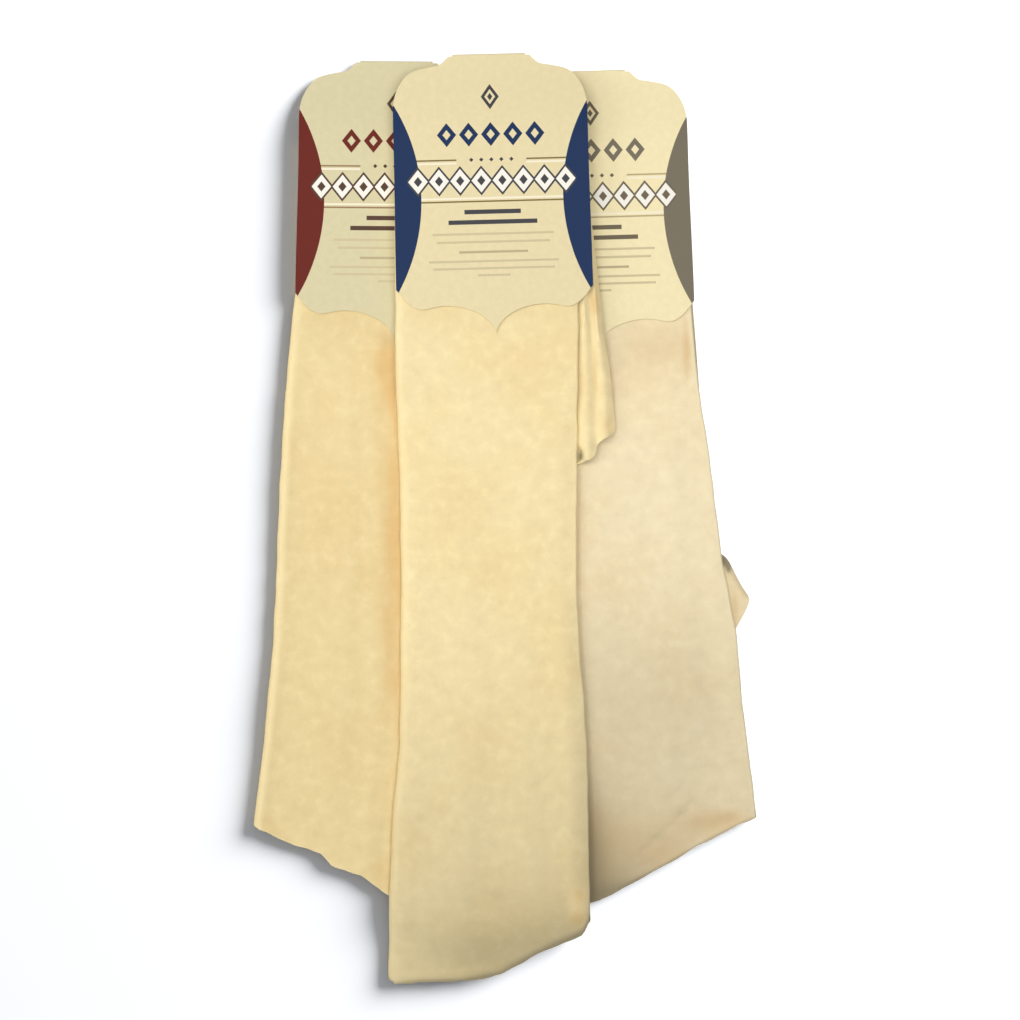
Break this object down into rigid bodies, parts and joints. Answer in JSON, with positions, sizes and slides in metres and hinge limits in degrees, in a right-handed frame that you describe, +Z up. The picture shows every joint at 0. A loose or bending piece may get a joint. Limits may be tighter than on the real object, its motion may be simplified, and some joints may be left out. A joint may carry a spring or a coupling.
{
  "type": "chamois leather set",
  "caption": "Cleaning leathers folded lengthwise to long four-layer strips, each held at its top end in a die-cut folded header card, lying overlapped in a fan.",
  "frame": {"origin": "middle of the set's bounding box, on the surface that the set lies on", "axes": "+Y along the strips towards the header cards, +X to the right when the cards' printed side is seen with the cards at the top, +Z up from the surface"},
  "size_m": [0.251, 0.466, 0.0152],
  "materials": {
    "chamois_red": "suede, soft napped, matt",
    "chamois_blue": "suede, soft napped, matt",
    "chamois_brown": "suede, soft napped, matt",
    "card_red": "printed board, cream with dark red side lenses, satin",
    "card_blue": "printed board, cream with navy blue side lenses, satin",
    "card_brown": "printed board, cream with grey brown side lenses, satin",
    "glue": "dried peelable glue, milky, satin"
  },
  "bodies": {
    "red_pack": {"red_chamois": "chamois_red"},
    "red_header": {"red_card": "card_red", "red_back_glue": "glue", "red_front_glue": "glue"},
    "brown_pack": {"brown_chamois": "chamois_brown"},
    "brown_header": {"brown_card": "card_brown", "brown_back_glue": "glue", "brown_front_glue": "glue"},
    "blue_pack": {"blue_chamois": "chamois_blue"},
    "blue_header": {"blue_card": "card_blue", "blue_back_glue": "glue", "blue_front_glue": "glue"}
  },
  "joints": [
    {"name": "red_card_off", "type": "slide", "parent": "red_pack", "child": "red_header", "axis": [0.0079, 1, 0], "range_m": [0, 0.11]},
    {"name": "brown_pack_out", "type": "slide", "parent": "red_pack", "child": "brown_pack", "axis": [1, 0, 0], "range_m": [0, 0.085]},
    {"name": "brown_card_off", "type": "slide", "parent": "brown_pack", "child": "brown_header", "axis": [-0.0276, 0.9996, 0], "range_m": [0, 0.11]},
    {"name": "blue_pack_lift", "type": "slide", "parent": "red_pack", "child": "blue_pack", "axis": [0, 0, 1], "range_m": [0, 0.08]},
    {"name": "blue_card_off", "type": "slide", "parent": "blue_pack", "child": "blue_header", "axis": [-0.0258, 0.9997, 0], "range_m": [0, 0.11]}
  ]
}
